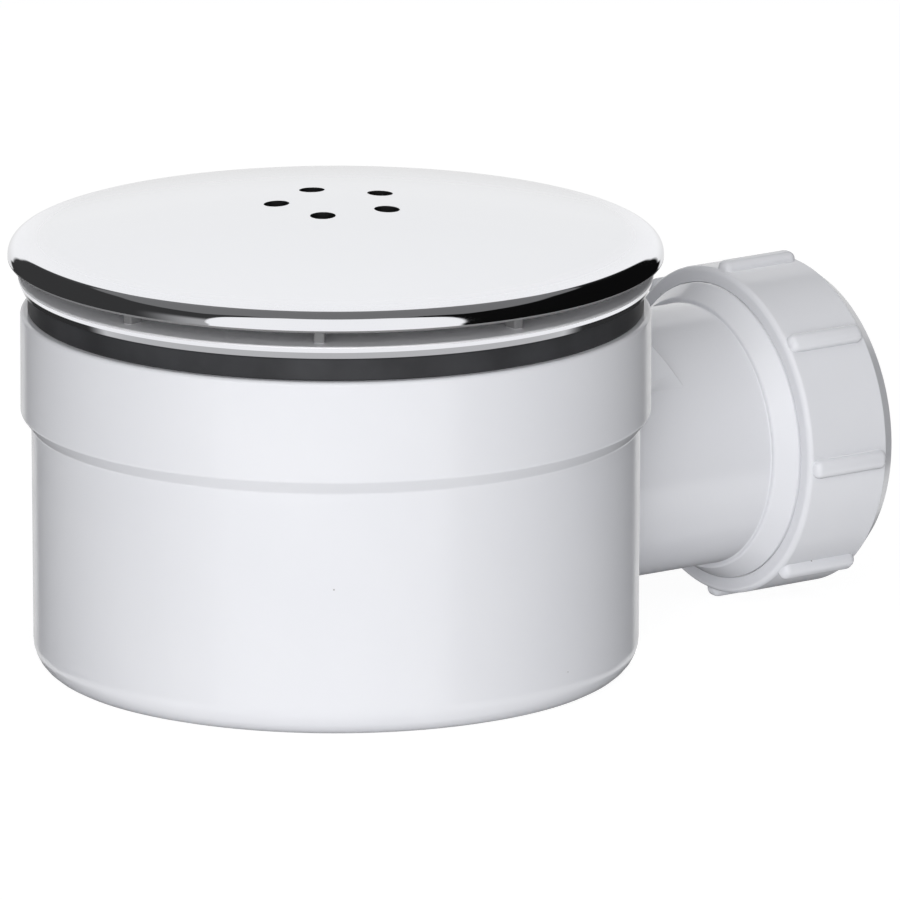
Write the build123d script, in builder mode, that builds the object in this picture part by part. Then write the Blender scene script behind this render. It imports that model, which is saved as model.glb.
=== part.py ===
from build123d import *

import math
import os

# Shower trap with a low compression outlet, a flange and a domed cap.
# The origin is the middle of the flat base, on the axis of the waste.
# +Z is up and the outlet leaves along +X. Sizes are in millimetres.

# Flange and gasket, sized from the hole in the shower tray
tray_hole_diameter = 90.0
tray_hole_clearance = 2.0
barrel_wall = 2.6
barrel_length = 12.65
barrel_ledge_width = 1.8
barrel_ledge_thickness = 2.5
barrel_thread_clearance = 0.3
flange_overhang = 1.75
flange_lip = 2.35
flange_edge = 1.1
flange_edge_round = 0.3
flange_bevel_width = 0.85
flange_throat_round = 1.6
gasket_height = 4.15
gasket_round = 0.5
gasket_slack = 2.0
gasket_inset = 1.3

# Threaded collar, welded into the mouth of the body
collar_width = 9.3
collar_plate = 3.0
collar_skirt_depth = 10.0
collar_skirt_wall = 2.6
weld_land_depth = 6.0
weld_land_width = 2.6
weld_gap = 0.05

# Body: a round moulding with a wider band at the top
rim_width = 2.7
rim_round = 0.7
band_step = 1.9
band_height = 20.3
step_height = 44.2
step_slope = 2.4
step_round = 0.8
body_taper = 0.25
body_wall = 2.5
base_round = 5.8
floor_thickness = 2.6
floor_round = 3.3

# Outlet: sized from the waste pipe that goes into its socket
pipe_diameter = 43.0
pipe_clearance = 0.25
pipe_stop_width = 1.35
socket_depth = 30.0
tube_wall = 2.85
tube_length = 22.2
shoulder_rise = 0.85
shoulder_round = 0.7
spigot_cone_length = 3.7
spigot_wall = 3.05
thread_depth = 1.2
thread_land = 0.8
thread_length = 9.8
thread_clearance = 0.4
gusset_inset = 4.85
gusset_thickness = 2.0
gusset_reach = 9.8
gusset_drop = 5.6

# Compression nut with its slip ring and cone seal
nut_wall = 2.9
nut_taper = 0.1
nut_end_wall = 3.4
nut_end_chamfer = 3.0
nut_end_drop = 2.3
nut_edge_round = 1.0
nut_end_round = 0.4
nut_mouth_chamfer = 0.4
nut_mouth_gap = 0.3
nut_floor_gap = 0.3
lug_count = 8
lug_turn = 3.0
lug_rise = 1.6
lug_width = 3.4
lug_round = 1.33
lug_round_share = 0.9
lug_near_inset = 0.6
lug_far_inset = 3.5
slip_ring_thickness = 1.6
slip_ring_clearance = 0.5
seal_head_length = 5.1
seal_head_inset = 0.5
seal_seat_length = 3.2
seal_seat_width = 1.5
seal_pipe_grip = 0.1
seal_seat_gap = 0.05

# Domed cap with its legs and its centring pin
cap_overhang = 1.75
cap_gap = 2.8
cap_rim = 2.93
cap_wall = 2.0
cap_edge_round = 2.8
cap_lip_round = 0.4
dome_radius = 234.0
cap_hole_count = 5
cap_hole_diameter = 4.5
cap_hole_circle = 20.8
cap_hole_turn = 6.6
leg_count = 9
leg_width = 1.9
leg_depth = 3.0
leg_inset = 4.1
leg_turn = 31.9
pin_diameter = 7.0
pin_clearance = 0.4
pin_engagement = 6.0
pin_end_gap = 2.0

# Insert: strainer, dip tube with its O-ring, and the cup that keeps the water seal
insert_clearance = 0.3
dip_plate = 2.0
dip_rim_height = 4.0
dip_rim_width = 4.2
dip_tube_bore = 49.0
dip_tube_wall = 2.2
dip_tube_gap = 6.0
o_ring_thickness = 1.94
o_ring_gap = 0.03
o_ring_side_gap = 0.23
strainer_thickness = 2.0
strainer_slot_count = 12
strainer_slot_width = 3.6
strainer_slot_length = 12.0
strainer_hub_wall = 2.6
cup_lift_clearance = 1.0
cup_wall = 2.0
cup_base = 2.0
cup_weir_gap = 5.5
cup_ring_clearance = 0.4
cup_ring_width = 1.6
cup_ring_height = 3.0

# Radii about the waste axis, from the tray hole outwards
barrel_radius = tray_hole_diameter / 2 - tray_hole_clearance
barrel_bore_radius = barrel_radius - barrel_wall
ledge_radius = barrel_bore_radius - barrel_ledge_width
collar_bore_radius = barrel_radius + barrel_thread_clearance
mouth_radius = collar_bore_radius + collar_width
band_radius = mouth_radius + rim_width
body_radius = band_radius - band_step
base_radius = body_radius - body_taper
cavity_radius = base_radius - body_wall
gasket_radius = band_radius - gasket_inset
flange_radius = gasket_radius + flange_overhang
cap_radius = flange_radius + cap_overhang
leg_circle_radius = flange_radius - leg_inset
dip_rim_radius = barrel_bore_radius - insert_clearance
dip_rim_inner_radius = dip_rim_radius - dip_rim_width
dip_bore_radius = dip_tube_bore / 2
groove_radius = barrel_bore_radius - o_ring_thickness - 2 * o_ring_gap
cup_radius = ledge_radius - cup_lift_clearance
cup_ring_radius = cup_radius + cup_ring_clearance

# Heights above the base
rim_height = step_height + band_height
weld_ledge_height = rim_height - weld_land_depth
gasket_top = rim_height + gasket_height
flange_top = gasket_top + flange_lip
barrel_bottom = gasket_top - barrel_length
ledge_height = barrel_bottom + barrel_ledge_thickness
cap_bottom = flange_top + cap_gap
dome_edge_height = cap_bottom + cap_rim
dome_centre_height = dome_edge_height - math.sqrt(dome_radius**2 - cap_radius**2)
cap_top = dome_centre_height + dome_radius
dip_plate_top = ledge_height + dip_plate
groove_height = ledge_height + dip_rim_height / 2
strainer_top = dip_plate_top + strainer_thickness
strainer_hub_top = strainer_top + pin_end_gap + pin_engagement
cup_rim_height = barrel_bottom - cup_weir_gap
cup_floor_height = floor_thickness + cup_base

# Radii about the outlet axis, from the pipe outwards
socket_radius = pipe_diameter / 2 + pipe_clearance
tube_bore_radius = socket_radius - pipe_stop_width
tube_radius = tube_bore_radius + tube_wall
shoulder_radius = tube_radius + shoulder_rise
thread_root_radius = socket_radius + spigot_wall
thread_radius = thread_root_radius + thread_depth
seal_seat_radius = socket_radius + seal_seat_width
nut_bore_radius = thread_radius + thread_clearance
nut_hole_radius = socket_radius + thread_clearance
nut_near_radius = nut_bore_radius + nut_wall
nut_far_radius = nut_near_radius - nut_taper
nut_end_radius = nut_far_radius - nut_end_drop
lug_tip_radius = nut_near_radius + lug_rise
gusset_spread = tube_radius - gusset_inset

# The outlet axis and the distances along it from the waste axis
outlet_height = lug_tip_radius + nut_floor_gap
outlet_axis = Axis((0, 0, outlet_height), (1, 0, 0))
shoulder_start = band_radius + tube_length
thread_start = shoulder_start + spigot_cone_length
spigot_end = thread_start + thread_length
socket_stop = spigot_end - socket_depth
slip_ring_start = spigot_end + seal_head_length
nut_start = thread_start + nut_mouth_gap
nut_shoulder = slip_ring_start + slip_ring_thickness
nut_end = nut_shoulder + nut_end_wall


def corner(profile, across, up):
    """The corner of a profile that lies nearest to a point of its plane."""
    return profile.vertices().sort_by_distance((across, up))[0]


def outlet_distance(point):
    """Distance of a point from the axis of the outlet."""
    return math.hypot(point.Y, point.Z - outlet_height)


def dome_height(radius):
    """Height of the outside of the dome at a distance from the waste axis."""
    return dome_centre_height + math.sqrt(dome_radius**2 - radius**2)


# Trap body: turned shell, outlet spigot and gussets, then the hollows
with BuildPart() as trap_body:
    with BuildSketch(Plane.XZ) as shell:
        with BuildLine():
            Polyline(
                (0, 0),
                (base_radius, 0),
                (body_radius, step_height),
                (band_radius, step_height + step_slope),
                (band_radius, rim_height),
                (0, rim_height),
                close=True,
            )
        make_face()
        fillet(corner(shell, base_radius, 0), base_round)
        fillet(corner(shell, body_radius, step_height), step_round)
        fillet(corner(shell, band_radius, step_height + step_slope), step_round)
        fillet(corner(shell, band_radius, rim_height), rim_round)
    revolve(axis=Axis.Z)

    with BuildSketch(Plane.XZ) as spigot:
        with BuildLine():
            Polyline(
                (0, outlet_height),
                (0, outlet_height + tube_radius),
                (shoulder_start, outlet_height + tube_radius),
                (shoulder_start, outlet_height + shoulder_radius),
                (thread_start, outlet_height + thread_radius),
                (thread_start + thread_land, outlet_height + thread_radius),
                (thread_start + thread_land, outlet_height + thread_root_radius),
                (spigot_end, outlet_height + thread_root_radius),
                (spigot_end, outlet_height),
                close=True,
            )
        make_face()
        fillet(corner(spigot, shoulder_start, outlet_height + shoulder_radius), shoulder_round)
    revolve(axis=outlet_axis)

    gusset_root = math.sqrt(band_radius**2 - gusset_spread**2)
    gusset_foot = outlet_height + math.sqrt(tube_radius**2 - gusset_spread**2)
    gusset_top = rim_height - gusset_drop
    with BuildSketch(Plane.XZ.offset(gusset_spread), Plane.XZ.offset(-gusset_spread)):
        with BuildLine():
            Polyline(
                (gusset_root + gusset_reach, gusset_foot),
                (gusset_root, gusset_top),
                (gusset_root - body_wall, gusset_top),
                (gusset_root - body_wall, outlet_height),
                close=True,
            )
        make_face()
    extrude(amount=gusset_thickness / 2, both=True)

    with BuildSketch(Plane.XZ) as cavity:
        with BuildLine():
            Polyline(
                (0, floor_thickness),
                (cavity_radius, floor_thickness),
                (cavity_radius, weld_ledge_height),
                (mouth_radius, weld_ledge_height),
                (mouth_radius, rim_height),
                (0, rim_height),
                close=True,
            )
        make_face()
        fillet(corner(cavity, cavity_radius, floor_thickness), floor_round)
    revolve(axis=Axis.Z, mode=Mode.SUBTRACT)

    with BuildSketch(Plane.XZ):
        with BuildLine():
            Polyline(
                (0, outlet_height),
                (0, outlet_height + tube_bore_radius),
                (socket_stop, outlet_height + tube_bore_radius),
                (socket_stop, outlet_height + socket_radius),
                (spigot_end - seal_seat_length, outlet_height + socket_radius),
                (spigot_end, outlet_height + seal_seat_radius),
                (spigot_end, outlet_height),
                close=True,
            )
        make_face()
    revolve(axis=outlet_axis, mode=Mode.SUBTRACT)

    with BuildSketch(Plane.XY.offset(floor_thickness)):
        Circle(cup_ring_radius + cup_ring_width)
        Circle(cup_ring_radius, mode=Mode.SUBTRACT)
    extrude(amount=cup_ring_height)

# Threaded collar: a plate with a weld land outside and a threaded skirt inside
with BuildPart() as threaded_collar:
    land_radius = mouth_radius - weld_gap
    with BuildSketch(Plane.XY.offset(rim_height - collar_plate)):
        Circle(land_radius)
        Circle(collar_bore_radius, mode=Mode.SUBTRACT)
    extrude(amount=collar_plate)
    with BuildSketch(Plane.XY.offset(weld_ledge_height)):
        Circle(land_radius)
        Circle(land_radius - weld_land_width, mode=Mode.SUBTRACT)
    extrude(amount=weld_land_depth)
    with BuildSketch(Plane.XY.offset(rim_height - collar_skirt_depth)):
        Circle(collar_bore_radius + collar_skirt_wall)
        Circle(collar_bore_radius, mode=Mode.SUBTRACT)
    extrude(amount=collar_skirt_depth)

# Tray gasket: a flat rubber ring on the rim of the body
with BuildPart() as tray_gasket:
    with BuildSketch(Plane.XY.offset(rim_height)):
        Circle(gasket_radius)
        Circle(barrel_radius + gasket_slack, mode=Mode.SUBTRACT)
    extrude(amount=gasket_height)
    gasket_edge = tray_gasket.edges().group_by(Axis.Z)[-1].sort_by(SortBy.RADIUS)[-1]
    fillet(gasket_edge, gasket_round)

# Flange: a bevelled lip on the gasket and a barrel with a ledge for the insert
with BuildPart() as flange:
    with BuildSketch(Plane.XZ) as section:
        with BuildLine():
            Polyline(
                (barrel_radius, barrel_bottom),
                (barrel_radius, gasket_top),
                (flange_radius - flange_bevel_width, gasket_top),
                (flange_radius, flange_top - flange_edge),
                (flange_radius, flange_top),
                (barrel_bore_radius, flange_top),
                (barrel_bore_radius, ledge_height),
                (ledge_radius, ledge_height),
                (ledge_radius, barrel_bottom),
                close=True,
            )
        make_face()
        fillet(corner(section, flange_radius, flange_top), flange_edge_round)
        fillet(corner(section, barrel_bore_radius, flange_top), flange_throat_round)
    revolve(axis=Axis.Z)

# Domed cap: a shell with a turned-down rim, five holes, legs and a centring pin
with BuildPart() as dome_cap:
    inner_radius = cap_radius - cap_wall
    inner_edge_height = dome_height(inner_radius) - cap_wall
    with BuildSketch(Plane.XZ) as dome:
        with BuildLine():
            RadiusArc((0, cap_top), (cap_radius, dome_edge_height), dome_radius)
            Polyline(
                (cap_radius, dome_edge_height),
                (cap_radius, cap_bottom),
                (inner_radius, cap_bottom),
                (inner_radius, inner_edge_height),
            )
            RadiusArc((inner_radius, inner_edge_height), (0, cap_top - cap_wall), -dome_radius)
            Line((0, cap_top - cap_wall), (0, cap_top))
        make_face()
        fillet(corner(dome, cap_radius, dome_edge_height), cap_edge_round)
        fillet(corner(dome, cap_radius, cap_bottom), cap_lip_round)
    revolve(axis=Axis.Z)

    with BuildSketch(Plane.XY.offset(cap_bottom)):
        with PolarLocations(cap_hole_circle / 2, cap_hole_count, start_angle=cap_hole_turn):
            Circle(cap_hole_diameter / 2)
    extrude(amount=cap_top - cap_bottom, mode=Mode.SUBTRACT)

    leg_top = dome_height(leg_circle_radius) - cap_wall / 2
    with BuildSketch(Plane.XY.offset(flange_top)):
        with PolarLocations(leg_circle_radius, leg_count, start_angle=leg_turn):
            Rectangle(leg_depth, leg_width)
    extrude(amount=leg_top - flange_top)

    pin_bottom = strainer_hub_top - pin_engagement
    with BuildSketch(Plane.XY.offset(pin_bottom)):
        Circle(pin_diameter / 2)
    extrude(amount=cap_top - cap_wall / 2 - pin_bottom)

# Dip tube: a rimmed plate on the ledge of the flange with a tube into the cup
with BuildPart() as dip_tube:
    dip_tube_bottom = cup_floor_height + dip_tube_gap
    dip_rim_top = ledge_height + dip_rim_height
    groove_half_width = o_ring_thickness / 2 + o_ring_side_gap
    with BuildSketch(Plane.XZ):
        with BuildLine():
            Polyline(
                (dip_bore_radius, dip_tube_bottom),
                (dip_bore_radius + dip_tube_wall, dip_tube_bottom),
                (dip_bore_radius + dip_tube_wall, ledge_height),
                (dip_rim_radius, ledge_height),
                (dip_rim_radius, groove_height - groove_half_width),
                (groove_radius, groove_height - groove_half_width),
                (groove_radius, groove_height + groove_half_width),
                (dip_rim_radius, groove_height + groove_half_width),
                (dip_rim_radius, dip_rim_top),
                (dip_rim_inner_radius, dip_rim_top),
                (dip_rim_inner_radius, dip_plate_top),
                (dip_bore_radius, dip_plate_top),
                close=True,
            )
        make_face()
    revolve(axis=Axis.Z)

# O-ring in the groove of the dip tube, against the barrel of the flange
with BuildPart() as dip_tube_o_ring:
    with BuildSketch(Plane.XZ):
        with Locations(((groove_radius + barrel_bore_radius) / 2, groove_height)):
            Circle(o_ring_thickness / 2)
    revolve(axis=Axis.Z)

# Strainer: a slotted disc on the dip tube with a hub for the pin of the cap
with BuildPart() as strainer:
    pin_socket_radius = pin_diameter / 2 + pin_clearance
    with BuildSketch(Plane.XY.offset(dip_plate_top)):
        Circle(dip_rim_inner_radius - insert_clearance)
        with PolarLocations(dip_bore_radius - strainer_slot_length / 2, strainer_slot_count):
            SlotOverall(strainer_slot_length, strainer_slot_width, mode=Mode.SUBTRACT)
    extrude(amount=strainer_thickness)
    with BuildSketch(Plane.XY.offset(strainer_top)):
        Circle(pin_socket_radius + strainer_hub_wall)
        Circle(pin_socket_radius, mode=Mode.SUBTRACT)
    extrude(amount=strainer_hub_top - strainer_top)

# Trap cup: stands on the floor of the body inside its ring, and its rim is the weir
with BuildPart() as trap_cup:
    with BuildSketch(Plane.XZ) as cup:
        with BuildLine():
            Polyline(
                (0, floor_thickness),
                (cup_radius, floor_thickness),
                (cup_radius, cup_rim_height),
                (cup_radius - cup_wall, cup_rim_height),
                (cup_radius - cup_wall, cup_floor_height),
                (0, cup_floor_height),
                close=True,
            )
        make_face()
        fillet(corner(cup, cup_radius, floor_thickness), cup_wall)
    revolve(axis=Axis.Z)

# Compression nut: a tapered sleeve with a chamfered end wall and grip lugs along it
with BuildPart() as compression_nut:
    with BuildSketch(Plane.XZ) as sleeve:
        with BuildLine():
            Polyline(
                (nut_start, outlet_height + nut_bore_radius + nut_mouth_chamfer),
                (nut_start, outlet_height + nut_near_radius),
                (nut_end - nut_end_chamfer, outlet_height + nut_far_radius),
                (nut_end, outlet_height + nut_end_radius),
                (nut_end, outlet_height + nut_hole_radius),
                (nut_shoulder, outlet_height + nut_hole_radius),
                (nut_shoulder, outlet_height + nut_bore_radius),
                (nut_start + nut_mouth_chamfer, outlet_height + nut_bore_radius),
                close=True,
            )
        make_face()
        fillet(corner(sleeve, nut_start, outlet_height + nut_near_radius), nut_edge_round)
        fillet(
            corner(sleeve, nut_end - nut_end_chamfer, outlet_height + nut_far_radius),
            nut_end_round,
        )
        fillet(corner(sleeve, nut_end, outlet_height + nut_end_radius), nut_end_round)
    revolve(axis=outlet_axis)

    lug_height = lug_tip_radius - nut_bore_radius - thread_clearance
    lug_plane = Plane(
        origin=(nut_start + lug_near_inset, 0, outlet_height),
        x_dir=(0, 1, 0),
        z_dir=(1, 0, 0),
    )
    with BuildSketch(lug_plane):
        with PolarLocations(lug_tip_radius - lug_height / 2, lug_count, start_angle=lug_turn):
            Rectangle(lug_height, lug_width)
    extrude(amount=nut_end - lug_far_inset - nut_start - lug_near_inset)
    tip_edges = compression_nut.edges().filter_by(
        lambda edge: outlet_distance(edge.center()) > lug_tip_radius - lug_round / 2
    )
    fillet(tip_edges, min(lug_round, lug_round_share * lug_rise, lug_round_share * lug_width / 2))

# Slip ring: a hard washer against the end wall of the nut
with BuildPart() as slip_ring:
    with BuildSketch(Plane.YZ.offset(slip_ring_start)):
        with Locations((0, outlet_height)):
            Circle(nut_bore_radius - slip_ring_clearance)
            Circle(socket_radius + thread_clearance / 2, mode=Mode.SUBTRACT)
    extrude(amount=slip_ring_thickness)

# Cone seal: a rubber ring in the tapered mouth of the spigot
with BuildPart() as cone_seal:
    seal_bore_radius = socket_radius - seal_pipe_grip
    seal_head_radius = thread_radius - seal_head_inset
    nose_radius = socket_radius + seal_seat_width / 2 - seal_seat_gap
    with BuildSketch(Plane.XZ):
        with BuildLine():
            Polyline(
                (spigot_end - seal_seat_length / 2, outlet_height + seal_bore_radius),
                (spigot_end - seal_seat_length / 2, outlet_height + nose_radius),
                (spigot_end, outlet_height + seal_seat_radius - seal_seat_gap),
                (spigot_end, outlet_height + seal_head_radius),
                (slip_ring_start, outlet_height + seal_head_radius),
                (slip_ring_start, outlet_height + seal_bore_radius),
                close=True,
            )
        make_face()
    revolve(axis=outlet_axis)

# Each piece goes to a file of its own
os.makedirs("parts", exist_ok=True)
pieces = {
    "trap_body": trap_body,
    "threaded_collar": threaded_collar,
    "tray_gasket": tray_gasket,
    "flange": flange,
    "dome_cap": dome_cap,
    "strainer": strainer,
    "dip_tube": dip_tube,
    "dip_tube_o_ring": dip_tube_o_ring,
    "trap_cup": trap_cup,
    "compression_nut": compression_nut,
    "slip_ring": slip_ring,
    "cone_seal": cone_seal,
}
for name, piece in pieces.items():
    piece.part.label = name
    export_step(piece.part, f"parts/{name}.step")
    print(name, "volume", round(piece.part.volume), "mm3")
print("cap top", round(cap_top, 2), "outlet height", outlet_height, "nut end", nut_end)
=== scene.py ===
# %% [markdown]
# # A shower trap, from turned shapes to a studio picture
# The trap is a plastic pot with a chrome cap, a rubber gasket and a side outlet
# closed by a nut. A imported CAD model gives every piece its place, so this lesson
# only makes the fine shapes and the finishes and lays them over that frame.

import math

import bmesh
import bpy
import numpy as np
from mathutils import Matrix, Vector


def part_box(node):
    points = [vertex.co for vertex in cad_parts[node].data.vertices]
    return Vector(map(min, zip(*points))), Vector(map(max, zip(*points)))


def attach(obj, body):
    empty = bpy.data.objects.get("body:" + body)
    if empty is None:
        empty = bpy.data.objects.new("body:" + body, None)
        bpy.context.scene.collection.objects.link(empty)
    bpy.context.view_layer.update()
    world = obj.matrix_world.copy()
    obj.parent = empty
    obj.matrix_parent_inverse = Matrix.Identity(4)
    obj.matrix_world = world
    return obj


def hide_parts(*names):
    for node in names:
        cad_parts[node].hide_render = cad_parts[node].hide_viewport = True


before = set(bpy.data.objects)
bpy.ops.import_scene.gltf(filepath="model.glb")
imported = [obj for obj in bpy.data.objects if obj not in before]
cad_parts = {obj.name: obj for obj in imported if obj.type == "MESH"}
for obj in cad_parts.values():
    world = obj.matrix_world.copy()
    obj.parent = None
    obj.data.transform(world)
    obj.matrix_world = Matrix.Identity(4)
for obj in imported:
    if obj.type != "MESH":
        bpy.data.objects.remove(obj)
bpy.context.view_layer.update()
MM = 0.001

# %% [markdown]
# ## Two axes
# Nearly every piece is a body of revolution. Most turn about the upright axis of
# the waste, and the outlet pieces turn about a level axis along +X. The height of
# that second axis and the outer sizes are read from the frame, so that the fine
# pieces cannot drift away from it.

# %% Read the axes and the outer sizes
nut_low, nut_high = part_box("compression_nut")
cap_low, cap_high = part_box("dome_cap")
body_low, body_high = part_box("trap_body")

OUTLET_HEIGHT = (nut_low.z + nut_high.z) / 2 / MM
NUT_START, NUT_END = nut_low.x / MM, nut_high.x / MM
SPIGOT_END = body_high.x / MM
CAP_RADIUS = (cap_high.y - cap_low.y) / 2 / MM
CAP_TOP = cap_high.z / MM
RIM_HEIGHT = body_high.z / MM
BAND_RADIUS = (body_high.y - body_low.y) / 2 / MM

WASTE = Matrix.Identity(4)
OUTLET = Matrix((
    (0, 0, 1, 0),
    (1, 0, 0, 0),
    (0, 1, 0, OUTLET_HEIGHT * MM),
    (0, 0, 0, 1),
))
print("outlet axis at", round(OUTLET_HEIGHT, 2), "mm, nut from", round(NUT_START, 2), "to", round(NUT_END, 2))

# %% [markdown]
# ## Outlines with rounded corners
# A moulded or plated edge is never sharp: its small round is what catches the
# light. An outline here is a list of corners, each with its own round, and the
# helper puts an arc at each one. It keeps the true surface direction of every
# point as well. Smooth shading from those directions shows no ripple where a flat
# wall runs into an edge, and on chrome such a ripple would be plain to see. Corners
# on the axis stay as they are, and a corner that only cuts gets the least round.

# %% Round the corners of an outline
ARC_STEPS, LEAST_ROUND = 8, 0.05


def rounded(*corners):
    """Outline of (point, direction) pairs from corners (radius, height, round), material on the left."""
    outline = []
    count = len(corners)
    for i, (across, along, size) in enumerate(corners):
        here = Vector((across, along))
        back = (Vector(corners[i - 1][:2]) - here).normalized()
        ahead = (Vector(corners[(i + 1) % count][:2]) - here).normalized()
        if across == 0:
            run = ahead if abs(ahead.x) > abs(back.x) else -back
            outline.append((here, Vector((run.y, -run.x))))
            continue
        half = back.angle(ahead) / 2
        centre = here + (back + ahead).normalized() * size / math.sin(half)
        start = here + back * size / math.tan(half) - centre
        end = here + ahead * size / math.tan(half) - centre
        outline += arc(centre, start, end)
    return outline


def arc(centre, start, end):
    """Outline points on the short arc between two spokes of a circle."""
    first = math.atan2(start.y, start.x)
    turn = (math.atan2(end.y, end.x) - first + math.pi) % (2 * math.pi) - math.pi
    points = []
    for step in range(ARC_STEPS + 1):
        angle = first + turn * step / ARC_STEPS
        spoke = Vector((math.cos(angle), math.sin(angle)))
        points.append((centre + spoke * start.length, spoke if turn > 0 else -spoke))
    return points


print("a square corner of 2 mm has", len(arc(Vector((0, 0)), Vector((2, 0)), Vector((0, 2)))), "points")

# %% [markdown]
# ## Turning an outline
# A Screw modifier could turn a curve too, but building the rings directly lets
# the poles close with one vertex each and lets the directions go in as custom
# normals. Every piece stays at the origin, with its place in its mesh.

# %% Turn an outline about an axis
SEGMENTS, FINE_SEGMENTS = 192, 320


def add_object(name, data):
    """A new object for a mesh, a lamp or a camera, at the origin of the scene."""
    piece = bpy.data.objects.new(name, data)
    bpy.context.scene.collection.objects.link(piece)
    return piece


def turned(name, outline, place=WASTE, segments=SEGMENTS):
    """A closed object made by turning an outline (in mm) about the axis of a place."""
    verts, normals, rings = [], [], []
    for point, direction in outline:
        ring = segments if point.x > MM else 1
        rings.append([len(verts) + k % ring for k in range(segments)])
        for k in range(ring):
            angle = 2 * math.pi * k / segments
            spread = Vector((math.cos(angle), math.sin(angle)))
            verts.append((spread.x * point.x * MM, spread.y * point.x * MM, point.y * MM))
            flare = direction.x if ring > 1 else 0
            normals.append(Vector((spread.x * flare, spread.y * flare, direction.y)).normalized())
    faces = []
    for low, high in zip(rings, rings[1:] + rings[:1]):
        for k in range(segments):
            n = (k + 1) % segments
            face = list(dict.fromkeys((low[k], low[n], high[n], high[k])))
            if len(face) > 2:
                faces.append(face)
    mesh = bpy.data.meshes.new(name)
    mesh.from_pydata(verts, [], faces)
    mesh.transform(place)
    mesh.shade_smooth()
    turn = place.to_3x3()
    mesh.normals_split_custom_set_from_vertices([turn @ normal for normal in normals])
    return add_object(name, mesh)


# %% [markdown]
# ## Cutting and joining
# Holes and ribs come from Boolean steps on closed shapes. A Boolean leaves odd
# faces along its cuts and forgets the smooth directions, so they are worked out
# again afterwards: each corner of a face that lies on a turned surface takes the
# direction of the outline at that spot, and every other corner keeps its own.

# %% Evaluate an object to a plain mesh and renew its directions
SHARP_ANGLE = math.radians(30)
SAME_SURFACE = 0.02 * MM
SAME_DIRECTION = math.cos(math.radians(20))
TINY = 1e-9


def settled(piece):
    """Replaces an object's mesh by its evaluated one, and removes its modifiers."""
    graph = bpy.context.evaluated_depsgraph_get()
    mesh = bpy.data.meshes.new_from_object(piece.evaluated_get(graph), depsgraph=graph)
    piece.modifiers.clear()
    piece.data = mesh
    mesh.name = piece.name


def outline_directions(points, outline, place):
    """Distance to a turned outline, and its direction at the nearest spot, for each point."""
    inverse = np.array(place.inverted())
    local = points @ inverse[:3, :3].T + inverse[:3, 3]
    radius = np.maximum(np.hypot(local[:, 0], local[:, 1]), TINY)
    flat = np.stack([radius, local[:, 2]], 1)
    ends = np.array([point[:] for point, _ in outline]) * MM
    bends = np.array([direction[:] for _, direction in outline])
    best = np.full(len(points), np.inf)
    found = np.zeros((len(points), 2))
    for i in range(len(ends)):
        a, b = ends[i], ends[(i + 1) % len(ends)]
        run = b - a
        share = np.clip(((flat - a) @ run) / max(run @ run, TINY**2), 0, 1)
        gap = np.linalg.norm(flat - a - share[:, None] * run, axis=1)
        closer = gap < best
        best[closer] = gap[closer]
        blend = bends[i] + share[closer, None] * (bends[(i + 1) % len(ends)] - bends[i])
        found[closer] = blend
    spread = local[:, :2] / radius[:, None] * found[:, :1]
    directions = np.concatenate([spread, found[:, 1:]], 1) @ np.array(place)[:3, :3].T
    return best, directions / np.maximum(np.linalg.norm(directions, axis=1), TINY)[:, None]


def renew_directions(piece, surfaces):
    """Gives the face corners on turned surfaces, a list of (outline, place), their true directions."""
    mesh = piece.data
    mesh.shade_smooth()
    mesh.set_sharp_from_angle(angle=SHARP_ANGLE)
    corners = np.zeros(len(mesh.loops), int)
    mesh.loops.foreach_get("vertex_index", corners)
    points = np.zeros(len(mesh.vertices) * 3)
    mesh.vertices.foreach_get("co", points)
    points = points.reshape(-1, 3)
    normals = np.array([corner.vector[:] for corner in mesh.corner_normals])
    facing = np.zeros((len(mesh.loops), 3))
    for polygon in mesh.polygons:
        facing[polygon.loop_start:polygon.loop_start + polygon.loop_total] = polygon.normal
    for outline, place in surfaces:
        gap, directions = outline_directions(points, outline, place)
        on_surface = gap[corners] < SAME_SURFACE
        along = np.einsum("ij,ij->i", directions[corners], facing) > SAME_DIRECTION
        normals[on_surface & along] = directions[corners][on_surface & along]
    mesh.normals_split_custom_set(normals.tolist())


# %% [markdown]
# ## Formulas in node trees
# Finishes and copies both need some arithmetic in nodes, and a Math node for every
# sign soon hides what is meant. A small class lets a node's result stand in a
# formula, and adds the Math nodes by itself.

# %% Let node results stand in formulas
class Value:
    """A node's result that can stand in a formula: each sign adds a Math node to its tree."""

    def __init__(self, socket):
        self.socket = socket
        self.node = socket.node
        self.tree = socket.id_data

    def __add__(self, other):
        return math_node("ADD", self, other)

    def __sub__(self, other):
        return math_node("SUBTRACT", self, other)

    def __rsub__(self, other):
        return math_node("SUBTRACT", other, self)

    def __mul__(self, other):
        return math_node("MULTIPLY", self, other)

    def __truediv__(self, other):
        return math_node("DIVIDE", self, other)

    def __rtruediv__(self, other):
        return math_node("DIVIDE", other, self)

    def __lt__(self, other):
        return math_node("LESS_THAN", self, other)

    def __gt__(self, other):
        return math_node("GREATER_THAN", self, other)

    def __abs__(self):
        return math_node("ABSOLUTE", self)


def feed(value, socket):
    """Links a Value to a socket, or sets the socket to anything else."""
    if isinstance(value, Value):
        value.tree.links.new(value.socket, socket)
    else:
        socket.default_value = value


def math_node(operation, first, second=0.0):
    """The result of a Math node on two values, of which at least one is a Value."""
    tree = (first if isinstance(first, Value) else second).tree
    node = tree.nodes.new("ShaderNodeMath")
    node.operation = operation
    feed(first, node.inputs[0])
    feed(second, node.inputs[1])
    return Value(node.outputs[0])


def most(first, *others):
    """The largest of some values, of which the first is a Value."""
    for other in others:
        first = math_node("MAXIMUM", first, other)
    return first


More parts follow.
